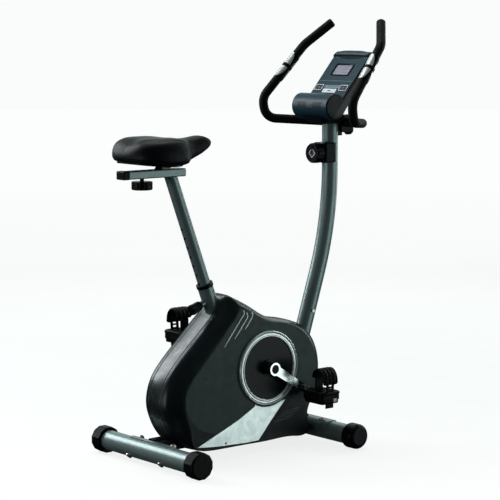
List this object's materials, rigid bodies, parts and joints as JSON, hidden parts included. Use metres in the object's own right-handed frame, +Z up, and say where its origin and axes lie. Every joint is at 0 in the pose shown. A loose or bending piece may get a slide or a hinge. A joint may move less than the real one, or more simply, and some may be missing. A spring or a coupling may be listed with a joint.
{
  "type": "exercise bike",
  "caption": "Upright exercise bike: belt drive and flywheel in a plastic case on two floor tubes, strapped pedals, sliding saddle, console and looped handlebar.",
  "frame": {"origin": "on the floor, under the middle of the whole machine's box", "axes": "+Z up, +X from the saddle towards the handlebar, +Y to the rider's left"},
  "size_m": [0.9298, 0.5, 1.3078],
  "materials": {
    "case_grey": "satin",
    "trim_silver": "satin metallic paint",
    "hub_black": "satin",
    "tube_grey": "metallic, semi-gloss",
    "frame_black": "semi-gloss",
    "crank_chrome": "polished",
    "black_plastic": "moulded, fine grain",
    "strap_black": "matt",
    "foam_black": "closed-cell foam",
    "saddle_vinyl": "black vinyl",
    "sensor_steel": "brushed",
    "zinc_steel": "zinc plated",
    "cast_iron": "painted",
    "pulley_black": "glass-filled nylon",
    "console_slate": "satin",
    "button_grey": "satin",
    "lcd_lens": "clear",
    "board_green": "solder mask",
    "cable_black": "sheath"
  },
  "bodies": {
    "frame": {"frame_base_tube": "frame_black", "saddle_plates": "tube_grey", "seat_tube": "tube_grey", "crank_housing": "frame_black", "front_stub": "tube_grey", "rear_stabiliser_tube": "tube_grey", "front_stabiliser_tube": "tube_grey", "stabiliser_bolts": "zinc_steel", "stabiliser_nuts": "zinc_steel", "left_shell": "case_grey", "right_shell": "case_grey", "spine_cover": "case_grey", "side_fins": "trim_silver", "side_rings": "trim_silver", "hub_discs": "hub_black", "cover_screws": "zinc_steel", "seat_bushing": "black_plastic", "handlebar_post": "tube_grey", "tension_housing": "black_plastic", "tension_cable": "cable_black", "console_back": "console_slate", "console_face": "console_slate", "console_collar": "console_slate", "lcd_window": "lcd_lens", "circuit_board": "board_green", "ball_bearings": "zinc_steel", "drive_belt": "strap_black", "handlebar_clamp": "black_plastic"},
    "crank": {"crank_axle": "zinc_steel", "crank_arm_right": "crank_chrome", "crank_arm_left": "crank_chrome", "crank_caps": "black_plastic", "drive_pulley": "pulley_black", "pedal_spindles": "zinc_steel"},
    "pedal_right": {"pedal_right": "black_plastic", "pedal_strap_right": "strap_black"},
    "pedal_left": {"pedal_left": "black_plastic", "pedal_strap_left": "strap_black"},
    "flywheel": {"flywheel": "cast_iron", "flywheel_axle": "zinc_steel"},
    "brake_bracket": {"magnet_bracket": "zinc_steel"},
    "tension_knob": {"tension_knob": "black_plastic"},
    "seat_post": {"seat_post": "tube_grey", "slider_bar": "tube_grey", "slider_bar_plug": "black_plastic"},
    "saddle": {"seat_carriage": "zinc_steel", "saddle_pan": "black_plastic", "saddle_cushion": "saddle_vinyl"},
    "slider_knob": {"seat_slider_knob": "black_plastic"},
    "pin_knob": {"seat_pin_knob": "black_plastic"},
    "handlebar": {"handlebar": "foam_black", "pulse_sensors": "sensor_steel"},
    "handlebar_knob": {"handlebar_knob": "black_plastic"},
    "button_left": {"button_left": "button_grey"},
    "button_right": {"button_right": "button_grey"},
    "button_centre": {"button_centre": "button_grey"},
    "rear_cap_left": {"rear_cap_left": "black_plastic"},
    "rear_cap_right": {"rear_cap_right": "black_plastic"},
    "wheel_left": {"wheel_left": "black_plastic"},
    "wheel_right": {"wheel_right": "black_plastic"}
  },
  "joints": [
    {"name": "crank_spin", "type": "hinge", "parent": "frame", "child": "crank", "pos_m": [0.02512, 0, 0.256], "axis": [0, 1, 0], "continuous": true},
    {"name": "pedal_right_spin", "type": "hinge", "parent": "crank", "child": "pedal_right", "pos_m": [0.16681, -0.165, 0.16951], "axis": [0, 1, 0], "continuous": true},
    {"name": "pedal_left_spin", "type": "hinge", "parent": "crank", "child": "pedal_left", "pos_m": [-0.11657, 0.165, 0.34249], "axis": [0, 1, 0], "continuous": true},
    {"name": "flywheel_spin", "type": "hinge", "parent": "frame", "child": "flywheel", "pos_m": [0.12112, 0, 0.18], "axis": [0, 1, 0], "continuous": true},
    {"name": "tension_turn", "type": "hinge", "parent": "frame", "child": "tension_knob", "pos_m": [0.29412, 0, 0.893], "axis": [-1, 0, 0], "range_deg": [0, 270]},
    {"name": "brake_swing", "type": "hinge", "parent": "frame", "child": "brake_bracket", "pos_m": [0.20232, -0.045, 0.2481], "axis": [0, 1, 0], "range_deg": [0, 8]},
    {"name": "seat_height", "type": "slide", "parent": "frame", "child": "seat_post", "axis": [-0.3535, 0, 0.9354], "range_m": [-0.15, 0.09]},
    {"name": "seat_fore_aft", "type": "slide", "parent": "seat_post", "child": "saddle", "axis": [1, 0, 0], "range_m": [-0.036, 0.04]},
    {"name": "slider_knob_turn", "type": "hinge", "parent": "saddle", "child": "slider_knob", "pos_m": [-0.38688, 0, 0.828], "axis": [0, 0, 1], "range_deg": [0, 360]},
    {"name": "pin_pull", "type": "slide", "parent": "frame", "child": "pin_knob", "axis": [-0.9354, 0, -0.3535], "range_m": [0, 0.009], "stiffness_N_per_m": 800, "springref_m": -0.01},
    {"name": "handlebar_tilt", "type": "hinge", "parent": "frame", "child": "handlebar", "pos_m": [0.38512, 0, 0.986], "axis": [0, 1, 0], "range_deg": [-15, 15]},
    {"name": "handlebar_knob_turn", "type": "hinge", "parent": "frame", "child": "handlebar_knob", "pos_m": [0.41412, 0, 0.962], "axis": [1, 0, 0], "range_deg": [0, 360]},
    {"name": "button_left_press", "type": "slide", "parent": "frame", "child": "button_left", "axis": [0.7547, 0, -0.6561], "range_m": [0, 0.0012], "stiffness_N_per_m": 1200, "springref_m": -0.0008},
    {"name": "button_right_press", "type": "slide", "parent": "frame", "child": "button_right", "axis": [0.7547, 0, -0.6561], "range_m": [0, 0.0012], "stiffness_N_per_m": 1200, "springref_m": -0.0008},
    {"name": "button_centre_press", "type": "slide", "parent": "frame", "child": "button_centre", "axis": [0.7547, 0, -0.6561], "range_m": [0, 0.0012], "stiffness_N_per_m": 1200, "springref_m": -0.0008},
    {"name": "rear_cap_left_turn", "type": "hinge", "parent": "frame", "child": "rear_cap_left", "pos_m": [-0.36288, 0.229, 0.039], "axis": [0, 1, 0], "continuous": true},
    {"name": "rear_cap_right_turn", "type": "hinge", "parent": "frame", "child": "rear_cap_right", "pos_m": [-0.36288, -0.229, 0.039], "axis": [0, 1, 0], "continuous": true},
    {"name": "wheel_left_roll", "type": "hinge", "parent": "frame", "child": "wheel_left", "pos_m": [0.24912, 0.227, 0.0385], "axis": [0, 1, 0], "continuous": true},
    {"name": "wheel_right_roll", "type": "hinge", "parent": "frame", "child": "wheel_right", "pos_m": [0.24912, -0.227, 0.0385], "axis": [0, 1, 0], "continuous": true}
  ],
  "couplings": [
    {"joint": "flywheel_spin", "follows": "crank_spin", "ratio": 6.2857},
    {"joint": "brake_swing", "follows": "tension_turn", "ratio": 0.0296}
  ]
}
